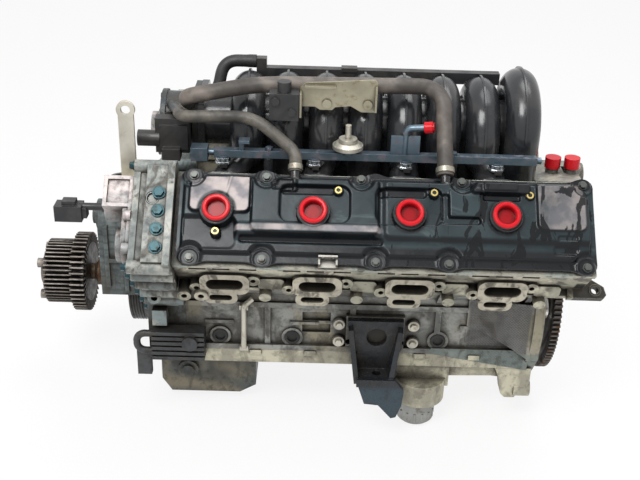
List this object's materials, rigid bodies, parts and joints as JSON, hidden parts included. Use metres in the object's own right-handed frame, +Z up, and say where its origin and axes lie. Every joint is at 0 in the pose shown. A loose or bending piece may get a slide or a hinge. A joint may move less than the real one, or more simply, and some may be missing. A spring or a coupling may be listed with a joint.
{
  "type": "car engine",
  "caption": "Dressed V-type petrol engine: alloy block, heads and covers, plastic intake, fuel rails, throttle, fan coupling, oil pans and one mount bracket.",
  "frame": {"origin": "on the crankshaft axis, in the plane of the block's rear face where the gearbox bolts on", "axes": "+X runs along the crankshaft away from the fan and out of the rear face, +Z up between the banks, so -Y is the side with the engine mount bracket"},
  "size_m": [0.7893, 0.491, 0.5082],
  "materials": {
    "cast_grey": "as-cast, oily",
    "cast_alloy": "as-cast, weathered",
    "cover_alloy": "as-cast, stained",
    "machined_alloy": "satin",
    "steel": "machined",
    "plate_steel": "oiled",
    "gear_steel": "surface rust",
    "rusty_steel": "surface rust",
    "black_iron": "satin black",
    "black_paint": "satin black",
    "bolt_steel": "plated",
    "pale_steel": "plated",
    "gold_plate": "yellow plated",
    "fan_alloy": "as-cast, dusty",
    "pump_paint": "as-cast",
    "gasket_steel": "plain",
    "rail_steel": "plated",
    "brass": "plain",
    "gold_insert": "plain",
    "cover_black": "gloss, oily",
    "intake_black": "semi-gloss, moulded",
    "plastic_black": "satin",
    "rubber": "matt",
    "hose_rubber": "matt, dusty",
    "seal_rubber": "matt",
    "cap_red": "gloss",
    "filter_steel": "satin"
  },
  "bodies": {
    "engine": {"cylinder_block": "cast_grey", "rear_seal_retainer": "cast_alloy", "left_head_gasket": "gasket_steel", "right_head_gasket": "gasket_steel", "left_cylinder_head": "cast_alloy", "right_cylinder_head": "cast_alloy", "left_cam_cover": "cover_black", "right_cam_cover": "cover_black", "left_cover_bolts": "bolt_steel", "right_cover_bolts": "bolt_steel", "left_tube_seals": "seal_rubber", "right_tube_seals": "seal_rubber", "left_well_caps": "cap_red", "right_well_caps": "cap_red", "coil_inserts": "gold_insert", "cover_clip": "bolt_steel", "timing_case": "cast_alloy", "timing_case_bolts": "bolt_steel", "left_cam_drive_cover": "cover_alloy", "right_cam_drive_cover": "cover_alloy", "pump_housing": "pump_paint", "cam_sensor": "plastic_black", "lifting_strap": "pale_steel", "core_plugs": "plastic_black", "block_bolts": "pale_steel", "intake_manifold": "intake_black", "throttle_body": "machined_alloy", "throttle_motor": "plastic_black", "left_fuel_rail": "rail_steel", "right_fuel_rail": "rail_steel", "left_injectors": "plastic_black", "right_injectors": "plastic_black", "fuel_damper": "pale_steel", "fuel_inlet_cap": "cap_red", "vacuum_gallery": "plastic_black", "vacuum_elbow": "rubber", "breather_hose": "hose_rubber", "pcv_hose": "rubber", "purge_valve": "plastic_black", "purge_bracket": "gold_plate", "coolant_outlet": "machined_alloy", "outlet_caps": "cap_red", "left_mount_bracket": "black_paint", "upper_oil_pan": "cast_alloy", "lower_oil_pan": "black_iron", "drain_plug": "bolt_steel", "oil_filter": "filter_steel", "oil_cooler": "black_iron", "coolant_tube": "pale_steel"},
    "crank": {"crankshaft": "steel", "crank_damper": "black_iron", "crank_nose_bolt": "bolt_steel", "flexplate": "plate_steel", "ring_gear": "gear_steel", "flexplate_bolts": "bolt_steel", "fan_hub": "rusty_steel"},
    "fan": {"fan_coupling": "fan_alloy"},
    "throttle_disc": {"throttle_plate": "brass"},
    "filler_cap": {"oil_filler_cap": "plastic_black"}
  },
  "joints": [
    {"name": "crank_spin", "type": "hinge", "parent": "engine", "child": "crank", "pos_m": [0, 0, 0], "axis": [1, 0, 0], "continuous": true},
    {"name": "fan_coupling_spin", "type": "hinge", "parent": "crank", "child": "fan", "pos_m": [-0.68, 0, 0], "axis": [1, 0, 0], "continuous": true},
    {"name": "throttle_turn", "type": "hinge", "parent": "engine", "child": "throttle_disc", "pos_m": [-0.5105, 0, 0.25], "axis": [0, 1, 0], "range_deg": [0, 85], "stiffness_Nm_per_rad": 0.05, "springref_deg": -11.46},
    {"name": "filler_cap_turn", "type": "hinge", "parent": "engine", "child": "filler_cap", "pos_m": [-0.371, 0.19954, 0.21368], "axis": [0, 0.7071, 0.7071], "range_deg": [0, 90]}
  ]
}
